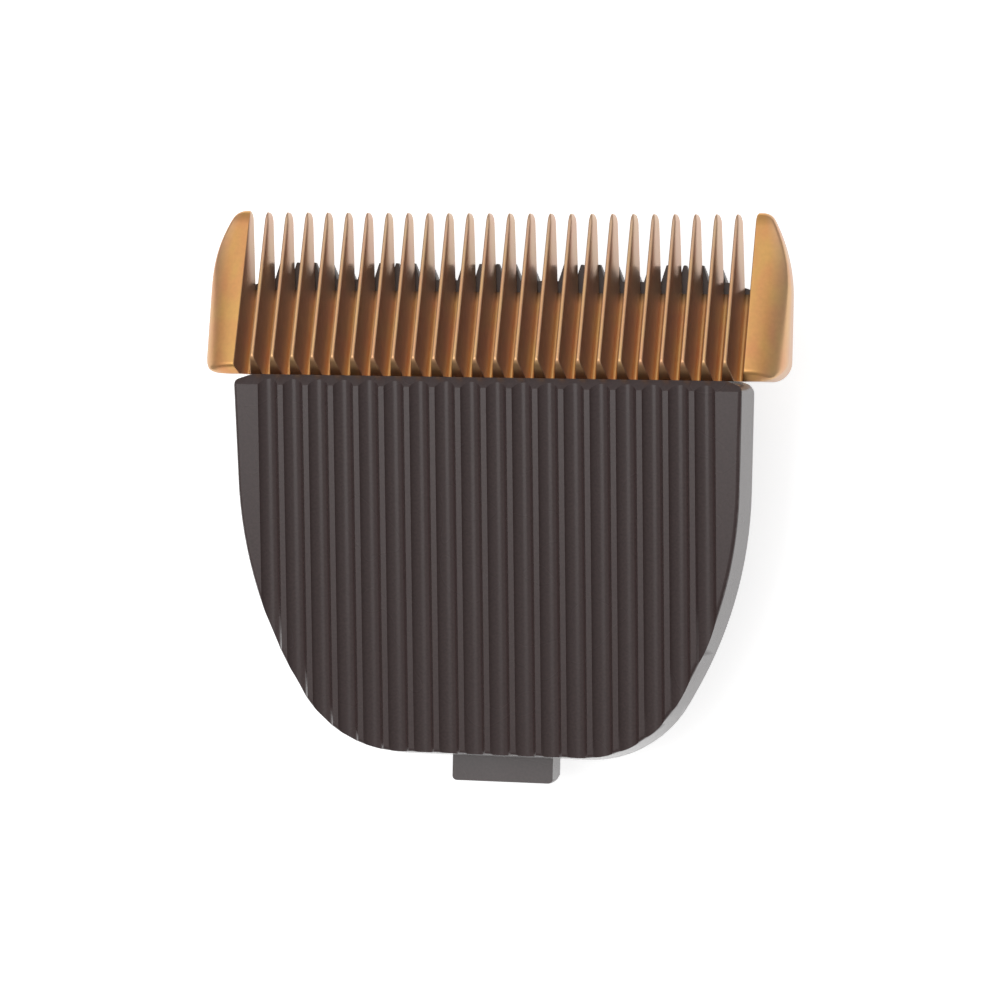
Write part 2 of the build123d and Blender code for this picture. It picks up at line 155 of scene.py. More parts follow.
class CombSettings(PropertyGroup):
    """Sizes of the steel comb."""

    tooth_count: IntProperty(name="Teeth", description="Free teeth between the two cheeks", default=24)
    pitch: size("Pitch", "Distance from one tooth to the next", 1.6)
    length: size("Length", "From the cheeks' fronts to the comb's rear wall", 12.49)
    land: size("Land", "Width on top of each ridge", 0.24)
    groove_depth: size("Groove depth", "Depth of the ground grooves, square to the ridges", 2.0)
    groove_floor: size("Groove floor", "Width at the bottom of each groove", 0.42)
    flank_curve: number("Flank curve", "1 is a straight flank, less is a fuller one", 0.85)
    groove_fillet: size("Groove fillet", "How far the grinding wheel's rounded rim climbs each flank", 0.45)
    # Painted shade: the groove floors are drawn darker over this length behind their front ends
    shade_length: size("Shade length", "How far oil stands on the groove floors behind their front ends", 1.1)
    ridge_angle: angle("Ridge angle", "Rise of the ridges from the tips to the rear", 14.1)
    tip_thickness: size("Tip thickness", "Height of the ridge line at the tips", 0.55)
    tip_length: size("Tip length", "Length over which each tooth tip is rounded, seen from above", 0.7)
    tip_setback: size("Tip setback", "How far the teeth end behind the cheeks' fronts", 0.12)
    nose_height: size("Nose height", "Height of the blunt edge at the tips", 0.3)
    nose_angle: angle("Nose angle", "Slope behind the blunt edge", 50.0)
    nose_softness: size("Nose softness", "Rounding where that slope meets the ridge", 0.2)
    rear_bevel: angle("Rear bevel", "Slope at the rear ends of the ridges", 42.0)
    rear_fall: size("Rear fall", "How far that slope comes down", 1.4)
    rear_softness: size("Rear softness", "Rounding where the rear slopes meet the ridge line", 0.3)
    cheek_bevel: angle("Cheek bevel", "Slope at the rear ends of the cheeks", 56.0)
    cheek_fall: size("Cheek fall", "How far that slope comes down", 1.15)
    edge_radius: size("Edge", "Rounding of the ridges' edges", 0.07)
    crown_width: size("Crown width", "Width over which each cheek curves down", 3.0)
    crown_fall: number("Crown fall", "Share of the height that it curves down", 0.66)
    bow_length: size("Bow length", "Length over which each cheek's side curves in", 6.4)
    bow_radius: size("Bow radius", "Radius of that curve", 12.3)
    cheek_front_radius: size("Cheek front", "Corner radius at a cheek's front", 1.05)
    cheek_rear_radius: size("Cheek rear", "Corner radius at a cheek's rear", 1.5)
    cheek_edge: size("Cheek edge", "Rounding along a cheek's outer edge", 0.22)
    cheek_softness: size("Cheek softness", "Rounding where a cheek's surfaces meet", 0.5)
    cheek_nose: size("Cheek nose", "Rounding over a cheek's front", 0.7)
    flange_width: size("Flange width", "Width of the plate that the holder clamps", 24.4)
    flange_thickness: size("Flange thickness", "Thickness of that plate", 1.1)
    flange_corner: size("Flange corner", "Corner radius of that plate", 1.5)
    hole_diameter: size("Screw holes", "Diameter of the plate's two holes", 2.1)


class EdgeSettings(PropertyGroup):
    """Edge roundings of the pieces that keep the CAD model's shape."""

    holder: size("Holder", "Rounding of the moulded holder's edges", 0.07)
    cutter: size("Cutter", "Rounding of the lapped cutter's edges", 0.03)
    driver: size("Driver", "Rounding of the moulded driver's edges", 0.12)


class ScrewSettings(PropertyGroup):
    """Sizes of the two screws."""

    count: IntProperty(name="Screws", description="How many screws stand side by side", default=2)
    spacing: size("Spacing", "Distance between the screws", 16.0)
    head_height: size("Head height", "Height of the pan head", 1.0)
    head_rim: size("Head rim", "Height of the upright part of the head", 0.35)
    head_flat: size("Head flat", "Diameter of the flat on top of the head", 1.6)
    shank_diameter: size("Shank", "Diameter of the shank", 2.0)
    thread_pitch: size("Thread pitch", "Distance from one thread to the next", 0.4)
    thread_depth: size("Thread depth", "Depth of the thread", 0.12)
    recess_length: size("Recess", "Length of the cross recess", 2.2)
    recess_width: size("Recess width", "Width of the cross recess", 0.5)
    recess_depth: size("Recess depth", "Depth of the cross recess", 0.55)


class FinishSettings(PropertyGroup):
    """Colours of the finishes."""

    coat: colour("Gold coat", "Nitride coat on the cheeks and the ridges", "#D49F66")
    ground_coat: colour("Ground coat", "The same coat, thin over the ground flanks", "#C7AC97")
    holder: colour("Holder", "Plastic of the holder", "#3D2D2C")
    ceramic: colour("Ceramic", "Zirconia of the cutter", "#3D2B22")
    driver: colour("Driver", "Plastic of the driver", "#242323")
    wire: colour("Spring wire", "Steel of the spring", "#B9B8B6")
    plating: colour("Screw plating", "Zinc on the screws", "#B4B2AE")
    card: colour("Floor", "Paper of the floor", "#F4F4F4")


class StageSettings(PropertyGroup):
    """Camera, lamp and floor."""

    floor_width: number("Floor", "Side of the floor", 3.0, "LENGTH")
    floor_glow: number("Floor glow", "Light that whitens the floor", 0.68)
    room_bright: number("Room above", "Room's light where it is brightest", 0.7)
    room_dim: number("Room behind", "Room's light where it is dimmest, low behind the object", 0.18)
    room_axis: FloatVectorProperty(
        name="Room axis", description="Way to its brightest side", default=(-0.1, 0.3, 0.95), subtype="XYZ"
    )
    room_dark: number("Room's dim end", "Cosine of the turn from there to where it is dimmest", -0.35)
    box_power: number("Soft box", "Power of the soft box", 0.85, "POWER")
    box_width: number("Soft box width", "Side of the soft box along X", 0.34, "LENGTH")
    box_length: number("Soft box length", "Side of the soft box along Y", 0.39, "LENGTH")
    box_height: number("Soft box height", "Distance from the origin to the soft box", 0.6, "LENGTH")
    box_side: angle("Soft box side", "Lean of the soft box to the left", 17.0)
    box_front: angle("Soft box front", "Lean of the soft box to the tips", 7.0)
    lens: number("Lens", "Focal length in mm", 165.21)
    sensor: number("Sensor", "Width of the camera's sensor in mm", 36.0)
    eye: FloatVectorProperty(
        name="Eye", description="Camera's place", default=(0.10030, -0.000225, 0.33861), subtype="XYZ"
    )
    lean: angle("Lean", "Camera's lean to the right of the vertical", 16.5)
    roll: angle("Roll", "Camera's turn about its own axis", 1.32)
    shift: FloatVectorProperty(
        name="Shift", description="Lens shift as a share of the picture", size=2, default=(-0.02835, 0.00197)
    )


class BladeHeadSettings(PropertyGroup):
    """All that a user can change."""

    comb: PointerProperty(type=CombSettings)
    edges: PointerProperty(type=EdgeSettings)
    screws: PointerProperty(type=ScrewSettings)
    finish: PointerProperty(type=FinishSettings)
    stage: PointerProperty(type=StageSettings)


def settings(context):
    """The blade head's settings in this scene."""
    return context.scene.blade_head


# Nodes and materials


def add(tree, kind, inputs=None, **properties):
    """Add a node with its properties, and set or link its inputs."""
    made = tree.nodes.new(kind)
    for name, value in properties.items():
        setattr(made, name, value)
    for name, value in (inputs or {}).items():
        if isinstance(value, bpy.types.NodeSocket):
            tree.links.new(value, made.inputs[name])
        else:
            made.inputs[name].default_value = value
    return made


def per_mm(*lengths):
    """Texture scale that gives features of these lengths, in millimetres, along X, Y and Z."""
    return [1 / (length * MM) for length in lengths]


def surface_pattern(tree, lengths, detail):
    """Uneven pattern in the piece's own space, with features of these lengths in millimetres."""
    place = add(tree, "ShaderNodeTexCoord").outputs["Object"]
    scaled = add(tree, "ShaderNodeMapping", {"Vector": place, "Scale": per_mm(*lengths)}).outputs[0]
    return add(tree, "ShaderNodeTexNoise", {"Vector": scaled, "Scale": 1, "Detail": detail}).outputs["Fac"]


def spread(value, low, high, ends=PATTERN_ENDS):
    """Inputs of a range node that takes a value from its own ends to a low and a high value."""
    return {"Value": value, "From Min": ends[0], "From Max": ends[1], "To Min": low, "To Max": high}


def new_material(name):
    """An empty node material with its tree."""
    material = bpy.data.materials.new(name)
    material.use_nodes = True
    material.node_tree.nodes.clear()
    return material, material.node_tree


def nitride_on_ground_steel(finish):
    """Titanium nitride on steel: satin gold on the tumbled cheeks, paler and streaked where ground."""
    tumbled_roughness, ground_roughness, grain_roughness = 0.38, 0.27, 0.06
    shaded_metallic, darkest_shade, shade_ends = 0.42, 0.2, (0.9, 1.5)
    grain_ends, line_strength = (0.25, 0.75), 0.1
    drift_hues, grain_shades = (0.49, 0.508), (0.96, 1.04)
    material, tree = new_material("titanium_nitride_on_ground_steel")
    ground = add(tree, "ShaderNodeAttribute", attribute_name="ground").outputs["Fac"]
    oil = add(tree, "ShaderNodeAttribute", attribute_name="oil").outputs["Fac"]
    # Grinding lines run along the grooves, 0.1 mm apart: drawn this coarse so that they show at all
    lines = surface_pattern(tree, (0.1, 3, 0.1), 2)
    # Tumbling leaves a fine mottle, drawn 0.3 mm across so that it shows
    mottle = surface_pattern(tree, (0.3, 0.3, 0.3), 1)
    # The coat's thickness drifts over about 2 mm, which turns its hue a little
    drift = surface_pattern(tree, (1.2, 2.4, 1.2), 1)
    mixed = {"Factor": ground, "A": mottle, "B": lines}
    grain = add(tree, "ShaderNodeMix", mixed, data_type="FLOAT").outputs["Result"]
    coats = {"Factor": ground, 6: (*finish.coat, 1), 7: (*finish.ground_coat, 1)}
    tint = add(tree, "ShaderNodeMix", coats, data_type="RGBA").outputs[2]
    hue = add(tree, "ShaderNodeMapRange", spread(drift, *drift_hues)).outputs[0]
    shade = add(tree, "ShaderNodeMapRange", spread(grain, *grain_shades, grain_ends)).outputs[0]
    # Painted shade: at the grooves' front ends the colour is darkened nearly to black
    painted_dark = add(tree, "ShaderNodeMapRange", spread(oil, 1.0, darkest_shade, shade_ends)).outputs[0]
    value = add(tree, "ShaderNodeMath", {0: shade, 1: painted_dark}, operation="MULTIPLY").outputs[0]
    worn = add(tree, "ShaderNodeHueSaturation", {"Color": tint, "Hue": hue, "Value": value}).outputs[0]
    # The tumbled cheeks scatter light more widely than the ground flanks
    surfaces = spread(ground, tumbled_roughness, ground_roughness, (0, 1))
    dull = add(tree, "ShaderNodeMapRange", surfaces).outputs[0]
    grained = {0: grain, 1: grain_roughness, 2: dull}
    rough = add(tree, "ShaderNodeMath", grained, operation="MULTIPLY_ADD").outputs[0]
    # Painted shade: deep in the grooves the metal is drawn less metallic, which leaves it duller
    metallic_by_shade = add(tree, "ShaderNodeMapRange", spread(oil, 1.0, shaded_metallic, (0, 1))).outputs[0]
    strength = add(tree, "ShaderNodeMath", {0: ground, 1: line_strength}, operation="MULTIPLY").outputs[0]
    bump = add(tree, "ShaderNodeBump", {"Height": lines, "Strength": strength, "Distance": BUMP_DEPTH})
    shader = add(
        tree,
        "ShaderNodeBsdfPrincipled",
        {"Base Color": worn, "Metallic": metallic_by_shade, "Roughness": rough, "Normal": bump.outputs[0]},
    )
    add(tree, "ShaderNodeOutputMaterial", {"Surface": shader.outputs[0]})
    return material


def moulded_plastic(name, rgb, roughness, sheen):
    """Dark plastic from a spark-eroded mould: a fine satin grain that softens every highlight."""
    patch_roughness, sheen_roughness, grain_strength = 0.03, 0.25, 0.05
    grain_shades, layer_ior = (0.88, 1.12), 1.36
    material, tree = new_material(name)
    # The mould's grain is finer than 0.1 mm, drawn 0.2 mm across so that it shows
    grain = surface_pattern(tree, (0.2, 0.2, 0.2), 1)
    # Handling leaves broad, faint patches a few millimetres across
    patch = surface_pattern(tree, (5, 5, 5), 1)
    shade = add(tree, "ShaderNodeMapRange", spread(grain, *grain_shades)).outputs[0]
    tint = add(tree, "ShaderNodeHueSaturation", {"Color": (*rgb, 1), "Value": shade}).outputs[0]
    patched = spread(patch, roughness - patch_roughness, roughness + patch_roughness)
    rough = add(tree, "ShaderNodeMapRange", patched).outputs[0]
    bump = add(tree, "ShaderNodeBump", {"Height": grain, "Strength": grain_strength, "Distance": BUMP_DEPTH})
    # The moulded skin and the core below it both mirror a little: the face stays dark, and walls that are
    # seen at a low angle turn pale. Each layer's IOR is lower than the plastic's, because there are two
    shader = add(
        tree,
        "ShaderNodeBsdfPrincipled",
        {
            "Base Color": tint,
            "Roughness": rough,
            "IOR": layer_ior,
            "Coat Weight": 1.0,
            "Coat Roughness": roughness,
            "Coat IOR": layer_ior,
            "Sheen Weight": sheen,
            "Sheen Roughness": sheen_roughness,
            "Normal": bump.outputs[0],
        },
    )
    add(tree, "ShaderNodeOutputMaterial", {"Surface": shader.outputs[0]})
    return material


def lapped_zirconia(finish):
    """Black zirconia, sintered and lapped flat: dense, nearly black, with a soft polish."""
    lap_roughness, polish = (0.26, 0.36), 0.3
    material, tree = new_material("lapped_black_zirconia")
    # Lapping leaves crossed scratches, drawn as an even mottle 0.08 mm across
    lap = surface_pattern(tree, (0.08, 0.08, 0.08), 4)
    rough = add(tree, "ShaderNodeMapRange", spread(lap, *lap_roughness)).outputs[0]
    shader = add(
        tree,
        "ShaderNodeBsdfPrincipled",
        {"Base Color": (*finish.ceramic, 1), "Roughness": rough, "Specular IOR Level": polish},
    )
    add(tree, "ShaderNodeOutputMaterial", {"Surface": shader.outputs[0]})
    return material


def bare_metal(name, rgb, roughness, lengths):
    """Drawn or plated steel: bright metal with marks of these lengths that make its shine uneven."""
    mark_roughness = 0.05
    material, tree = new_material(name)
    marks = surface_pattern(tree, lengths, 2)
    marked = spread(marks, roughness - mark_roughness, roughness + mark_roughness)
    rough = add(tree, "ShaderNodeMapRange", marked).outputs[0]
    shader = add(
        tree,
        "ShaderNodeBsdfPrincipled",
        {"Base Color": (*rgb, 1), "Metallic": 1.0, "Roughness": rough},
    )
    add(tree, "ShaderNodeOutputMaterial", {"Surface": shader.outputs[0]})
    return material


def white_card(finish, glow):
    """Matt white paper that the camera and mirrors see a little brighter than it is lit."""
    material, tree = new_material("matt_white_card")
    path = add(tree, "ShaderNodeLightPath").outputs
    direct = {0: path["Is Camera Ray"], 1: path["Is Glossy Ray"]}
    seen = add(tree, "ShaderNodeMath", direct, operation="MAXIMUM").outputs[0]
    through = {0: seen, 1: path["Is Transmission Ray"]}
    seen = add(tree, "ShaderNodeMath", through, operation="MAXIMUM").outputs[0]
    level = add(tree, "ShaderNodeMath", {0: seen, 1: glow}, operation="MULTIPLY").outputs[0]
    card = add(tree, "ShaderNodeBsdfDiffuse", {"Color": (*finish.card, 1)})
    light = add(tree, "ShaderNodeEmission", {"Color": (1, 1, 1, 1), "Strength": level})
    both = add(tree, "ShaderNodeAddShader", {0: card.outputs[0], 1: light.outputs[0]})
    add(tree, "ShaderNodeOutputMaterial", {"Surface": both.outputs[0]})
    return material


# Meshes


def new_piece(name, data):
    """An object at the origin that holds this mesh, curve, lamp or camera."""
    piece = bpy.data.objects.new(name, data)
    bpy.context.scene.collection.objects.link(piece)
    return piece


def skin(rows):
    """Faces between rows of points with the same number of points each."""
    count = len(rows[0])
    return [
        (i * count + j, (i + 1) * count + j, (i + 1) * count + j + 1, i * count + j + 1)
        for i in range(len(rows) - 1)
        for j in range(count - 1)
    ]


def evaluated_mesh(piece):
    """The piece's shape with its modifiers run, as a plain mesh."""
    bpy.context.view_layer.update()
    depsgraph = bpy.context.evaluated_depsgraph_get()
    return bpy.data.meshes.new_from_object(piece.evaluated_get(depsgraph))


def tidy(mesh, sharp):
    """Merge doubled points, drop empty faces, turn faces outwards and shade by angle."""
    work = bmesh.new()
    work.from_mesh(mesh)
    bmesh.ops.remove_doubles(work, verts=work.verts, dist=MERGE)
    bmesh.ops.dissolve_degenerate(work, edges=work.edges, dist=MERGE)
    bmesh.ops.recalc_face_normals(work, faces=work.faces)
    work.to_mesh(mesh)
    work.free()
    mesh.shade_smooth()
    mesh.set_sharp_from_angle(angle=sharp)
    return mesh


def lower(one, other, softness):
    """The lower of two heights, with a rounded change from one to the other."""
    blend = max(softness - abs(one - other), 0.0) / softness
    return min(one, other) - blend**2 * softness / 4


def arc(start, corner, end, steps):
    """Points of a rounded corner after its start."""

    def at(t):
        ends = zip(start, corner, end)
        return tuple((1 - t) ** 2 * a + 2 * t * (1 - t) * b + t**2 * c for a, b, c in ends)

    return [at(step / steps) for step in range(1, steps + 1)]


class CombShape:
    """The comb's surfaces, worked out from its settings, in metres."""

    def __init__(self, comb):
        self.comb = comb
        self.half = COMB_HIGH.x
        self.tip_y = COMB_HIGH.y
        self.rear_y = self.tip_y - comb.length
        self.plane = COMB_LOW.z
        self.slope = comb.ridge_angle
        self.flank = (comb.pitch - comb.land - comb.groove_floor) / 2
        # The grooves break through the cutting plane here
        depth = comb.groove_depth / math.cos(self.slope)
        self.web_y = self.tip_y - (depth - comb.tip_thickness) / math.tan(self.slope)
        self.outline = self.cheek_outline()

    def ridge(self, y):
        """Height of the ridge line over the cutting plane."""
        return self.comb.tip_thickness + (self.tip_y - y) * math.tan(self.slope)

    def top(self, y, bevel, fall, nose_softness):
        """Height of a side profile: blunt nose, ridge line and bevelled rear."""
        comb = self.comb
        nose = comb.nose_height + (self.tip_y - y) * math.tan(comb.nose_angle)
        rear = self.ridge(self.rear_y) - fall + (y - self.rear_y) * math.tan(bevel)
        return lower(lower(self.ridge(y), nose, nose_softness), rear, comb.rear_softness)

    def ridge_top(self, y):
        """Height of a tooth's ridge."""
        return self.top(y, self.comb.rear_bevel, self.comb.rear_fall, self.comb.nose_softness)

    def cheek_top(self, y):
        """Height of a cheek along its inner edge."""
        return self.top(y, self.comb.cheek_bevel, self.comb.cheek_fall, self.comb.cheek_nose)

    def floor(self, y):
        """Height of the groove floors, or of the cutting plane where they are open."""
        return max(self.ridge(y) - self.comb.groove_depth / math.cos(self.slope), 0.0)

    def flank_x(self, y, z):
        """Half width of a ridge at a height."""
        depth = (self.ridge(y) - z) * math.cos(self.slope) / self.comb.groove_depth
        return self.comb.land / 2 + self.flank * max(depth, 0.0) ** self.comb.flank_curve

    def web_rows(self):
        """Places along Y behind the open gaps, which teeth and cheeks share."""
        bevel_y = self.rear_y + self.comb.cheek_rear_radius
        web = np.linspace(self.web_y, bevel_y, WEB_ROWS)
        rear = np.linspace(bevel_y, self.rear_y, REAR_ROWS)[1:]
        return [float(y) for y in (*web, *rear)]

    def flank_side(self, y, crest, share=1.0):
        """Points up a flank from the groove's middle to the crest, as (half width, height, ground, painted
        shade).
        """
        comb = self.comb
        low = self.floor(y)
        high = max(crest - comb.edge_radius, low)

        def at(z):
            return self.flank_x(y, z) * share, z

        foot = at(low)
        curve = [foot] * (2 + FILLET_POINTS)
        ground = [1.0] * len(FLANK_GROUND)
        floor_shade = 0.0
        if y <= self.web_y:
            start = (foot[0] + comb.groove_floor / 3, low)
            fillet_top = at(min(low + comb.groove_fillet, high))
            curve = [(comb.pitch / 2, low), start, *arc(start, foot, fillet_top, FILLET_POINTS)]
            ground = FLANK_GROUND
            # Painted shade on the groove floors: darkest at their front ends, fading over the shade length
            # and less still towards the rear
            behind = self.web_y - y
            run_off = behind / (self.web_y - self.rear_y)
            floor_shade = DEEPEST_FLOOR_SHADE * max(1 - behind / comb.shade_length, 0.0) - DEEPEST_FLOOR_SHADE * run_off
        rise = curve[-1][1]
        curve += [at(rise + (high - rise) * part) for part in FLANK_PARTS]
        marks = zip(curve, ground, FLOOR_SHADE_SHARES)
        return [(x, z, g, self.oil(y, z) + floor_shade * part) for (x, z), g, part in marks]

    def land_ground(self, y):
        """How far the coat is worn off the lands: most at the tips."""
        return LAND_WEAR + TIP_WEAR * min(max((y - self.web_y) / (self.tip_y - self.web_y), 0.0), 1.0)

    def oil(self, y, z):
        """Share of painted shade on a flank, more the deeper it lies: most where the grooves begin, none at
        the tips and the lands.
        """
        depth = min(max((self.ridge(y) - z) / self.comb.groove_depth, 0.0), 1.0)
        before = min(max((self.tip_y - y) / (self.tip_y - self.web_y), 0.0), 1.0)
        behind = min(max((self.web_y - y) / (self.web_y - self.rear_y), 0.0), 1.0)
        return depth * (FLANK_SHADE * before - REAR_LOSS * behind)

    def tooth(self):
        """One tooth from groove middle to groove middle, as a mesh about X = 0."""
        comb = self.comb
        end_y = self.tip_y - comb.tip_setback
        turns = [math.radians(turn) for turn in TIP_TURNS]
        front = [(end_y - comb.tip_length * (1 - math.cos(a)), math.sin(a)) for a in turns]
        open_rows = np.linspace(end_y - comb.tip_length, self.web_y + GAP_END, TOOTH_ROWS)
        stations = front + [(float(y), 1.0) for y in (*open_rows, *self.web_rows())]
        rows, marks = [], []
        for y, share in stations:
            crest = self.ridge_top(y)
            side = self.flank_side(y, crest, share)
            width = self.flank_x(y, crest) * share
            edge = (width - min(comb.edge_radius, EDGE_SHARE * width), crest)
            rounding = arc(side[-1][:2], (width, crest), edge, len(EDGE_GROUND))
            worn = self.land_ground(y)
            side += [(x, z, g + (1 - g) * worn, 0.0) for (x, z), g in zip(rounding, EDGE_GROUND)]
            right = [(x, y, self.plane + z) for x, z, *mark in side]
            left = [(-x, y, z) for x, y, z in reversed(right)]
            rows.append([*right, (0.0, y, self.plane + crest), *left])
            half = [mark for x, z, *mark in side]
            marks += [*half, [worn, 0.0], *reversed(half)]
        return self.closed("comb_tooth", rows, marks)

    def closed(self, name, rows, marks):
        """A mesh between rows, closed at its ends and below, whose points hold their grinding and painted
        shade.
        """
        points = [point for row in rows for point in row]
        faces = skin(rows)
        width = len(rows[0])
        drawn = len(points)
        under = []
        for i, row in enumerate(rows):
            ends = [i * width, i * width + width - 1]
            for j, (x, y, z) in enumerate((row[0], row[-1])):
                if z > self.plane:
                    ends[j] = len(points)
                    points.append((x, y, self.plane))
            under.append(ends)
        faces += [(a[0], a[1], b[1], b[0]) for a, b in zip(under, under[1:])]
        faces.append(tuple(range(width)))
        faces.append((*range(drawn - width, drawn), *[end for end in reversed(under[-1]) if end >= drawn]))
        mesh = bpy.data.meshes.new(name)
        mesh.from_pydata(points, [], faces)
        marks = marks + [[1.0, 0.0]] * (len(points) - drawn)
        for i, kind in enumerate(("ground", "oil")):
            values = [mark[i] for mark in marks]
            mesh.attributes.new(kind, "FLOAT", "POINT").data.foreach_set("value", values)
        return mesh

    def cheek_outline(self):
        """The cheek's outline from above, from its front round to its rear, as points."""
        comb = self.comb
        bow_y = self.tip_y - comb.bow_length
        bow_x = self.half - comb.bow_radius
        front = comb.cheek_front_radius
        front_y = self.tip_y - front
        front_x = bow_x + math.sqrt((comb.bow_radius - front) ** 2 - (front_y - bow_y) ** 2)
        meet = math.atan2(front_y - bow_y, front_x - bow_x)
        rear = comb.cheek_rear_radius
        arcs = [
            (front_x, front_y, front, math.pi / 2, meet),
            (bow_x, bow_y, comb.bow_radius, meet, 0.0),
            (self.half - rear, self.rear_y + rear, rear, 0.0, -math.pi / 2),
        ]
        points = [(self.half - comb.crown_width - comb.pitch, self.tip_y)]
        for x, y, radius, start, end in arcs:
            turns = np.linspace(start, end, OUTLINE_POINTS)
            points += [(x + radius * math.cos(a), y + radius * math.sin(a)) for a in turns]
        return np.array(points)

    def inside(self, x, y):
        """How far a point lies inside the cheek's outline."""
        start, end = self.outline[:-1], self.outline[1:]
        along = end - start
        square = np.maximum((along**2).sum(1), MERGE**2)
        share = ((np.array((x, y)) - start) * along).sum(1) / square
        nearest = start + along * np.clip(share, 0, 1)[:, None]
        return float(np.sqrt(((nearest - (x, y)) ** 2).sum(1)).min())

    def cheek_height(self, x, y):
        """Height of the cheek: the lowest of its crown and profile, rounded off along the outline."""
        comb = self.comb
        reach = min(max(x - (self.half - comb.crown_width), 0.0) / comb.crown_width, 1.0)
        crown = self.ridge(y) * (1 - comb.crown_fall * (1 - math.sqrt(1 - reach**2)))
        height = lower(self.cheek_top(y), crown, comb.cheek_softness)
        over = max(comb.cheek_edge - self.inside(x, y), 0.0)
        return max(height - comb.cheek_edge + math.sqrt(max(comb.cheek_edge**2 - over**2, 0.0)), 0.0)

    def cheek_end(self, y):
        """The outline's point for the row at Y: level with it, but spread evenly round the rear corner."""
        comb = self.comb
        turn = (self.rear_y + comb.cheek_rear_radius - y) / comb.cheek_rear_radius * math.pi / 2
        if turn > 0:
            reach = comb.cheek_rear_radius * (math.cos(turn) - 1)
            return self.half + reach, self.rear_y + comb.cheek_rear_radius * (1 - math.sin(turn))
        outer = self.outline[1:]
        return float(np.interp(-y, -outer[:, 1], outer[:, 0])), y

    def cheek(self, hand):
        """One cheek from the middle of the outermost groove to its outer wall, as a mesh."""
        comb = self.comb
        middle = (comb.tooth_count + 1) / 2 * comb.pitch
        turns = np.linspace(0, math.pi / 2, CHEEK_FRONT_ROWS)
        front = self.tip_y - comb.cheek_front_radius * (1 - np.cos(turns))
        open_rows = np.linspace(front[-1], self.web_y + GAP_END, CHEEK_ROWS)
        stations = [*map(float, front), *map(float, open_rows[1:]), *self.web_rows()]
        columns = np.sin(np.linspace(0, math.pi / 2, CHEEK_COLUMNS))[1:]
        rows, marks = [], []
        for y in stations:
            share = math.sqrt(1 - max(1 - (self.tip_y - y) / comb.tip_length, 0.0) ** 2)
            edge_z = self.cheek_height(middle - self.flank_x(y, self.cheek_top(y)) * share, y)
            side = [(middle - x, z, *mark) for x, z, *mark in self.flank_side(y, edge_z, share)]
            edge_x = middle - self.flank_x(y, edge_z) * share
            crest_x = edge_x + comb.edge_radius
            crest = (crest_x, self.cheek_height(crest_x, y))
            rounding = arc(side[-1][:2], (edge_x, edge_z), crest, len(EDGE_GROUND))
            side += [(x, z, g, 0.0) for (x, z), g in zip(rounding, EDGE_GROUND)]
            row = [(x, y, z) for x, z, *mark in side]
            outer_x, outer_y = self.cheek_end(y)
            for column in columns:
                x, along = crest_x + (outer_x - crest_x) * column, y + (outer_y - y) * column
                row.append((x, along, self.cheek_height(x, along)))
            row.append((outer_x, outer_y, 0.0))
            rows.append([(hand * x, along, self.plane + z) for x, along, z in row])
            # The cheek is drawn paler and more ground towards its outer edge
            worn = np.linspace(*CHEEK_GROUND_SHARE, len(row) - len(side))
            marks += [mark for x, z, *mark in side]
            marks += [[max(float(wear), 0.0), 0.0] for wear in worn]
        return self.closed("comb_cheek", rows, marks)


def row_along_x(name):
    """Node tree that repeats a shape along X, joins the row to what stands beside it and sets the finish."""
    tree = bpy.data.node_groups.new(name, "GeometryNodeTree")
    tree.is_modifier = True
    inputs = {
        "Beside": "NodeSocketGeometry",
        "Shape": "NodeSocketObject",
        "Count": "NodeSocketInt",
        "Pitch": "NodeSocketFloat",
        "Finish": "NodeSocketMaterial",
    }
    for socket, kind in inputs.items():
        tree.interface.new_socket(socket, in_out="INPUT", socket_type=kind)
    tree.interface.new_socket("Row", in_out="OUTPUT", socket_type="NodeSocketGeometry")
    given = add(tree, "NodeGroupInput").outputs
    shape = add(tree, "GeometryNodeObjectInfo", {"Object": given["Shape"]}).outputs["Geometry"]
    spaces = add(tree, "ShaderNodeMath", {0: given["Count"], 1: 1.0}, operation="SUBTRACT").outputs[0]
    span = add(tree, "ShaderNodeMath", {0: spaces, 1: given["Pitch"]}, operation="MULTIPLY").outputs[0]
    first = add(tree, "ShaderNodeMath", {0: span, 1: -0.5}, operation="MULTIPLY").outputs[0]
    start = add(tree, "ShaderNodeCombineXYZ", {"X": first}).outputs[0]
    step = add(tree, "ShaderNodeCombineXYZ", {"X": given["Pitch"]}).outputs[0]
    places = {"Count": given["Count"], "Start Location": start, "Offset": step}
    line = add(tree, "GeometryNodeMeshLine", places).outputs[0]
    row = add(tree, "GeometryNodeInstanceOnPoints", {"Points": line, "Instance": shape}).outputs[0]
    join = add(tree, "GeometryNodeJoinGeometry")
    tree.links.new(row, join.inputs[0])
    tree.links.new(given["Beside"], join.inputs[0])
    real = add(tree, "GeometryNodeRealizeInstances", {"Geometry": join.outputs[0]}).outputs[0]
    finish = add(tree, "GeometryNodeSetMaterial", {"Geometry": real, "Material": given["Finish"]})
    add(tree, "NodeGroupOutput", {"Row": finish.outputs[0]})
    return tree


def run_tree(piece, tree, values):
    """Run a node tree on a piece with these inputs and keep the result as the piece's plain mesh."""
    modifier = piece.modifiers.new(tree.name, "NODES")
    modifier.node_group = tree
    for item in tree.interface.items_tree:
        if item.in_out == "INPUT" and item.name in values:
            modifier[item.identifier] = values[item.name]
    mesh = evaluated_mesh(piece)
    piece.modifiers.remove(modifier)
    old = piece.data
    piece.data = mesh
    bpy.data.meshes.remove(old)
    mesh.name = piece.name
    if not len(mesh.polygons):
        raise RuntimeError(f"{tree.name} made nothing for {piece.name}")
    return mesh


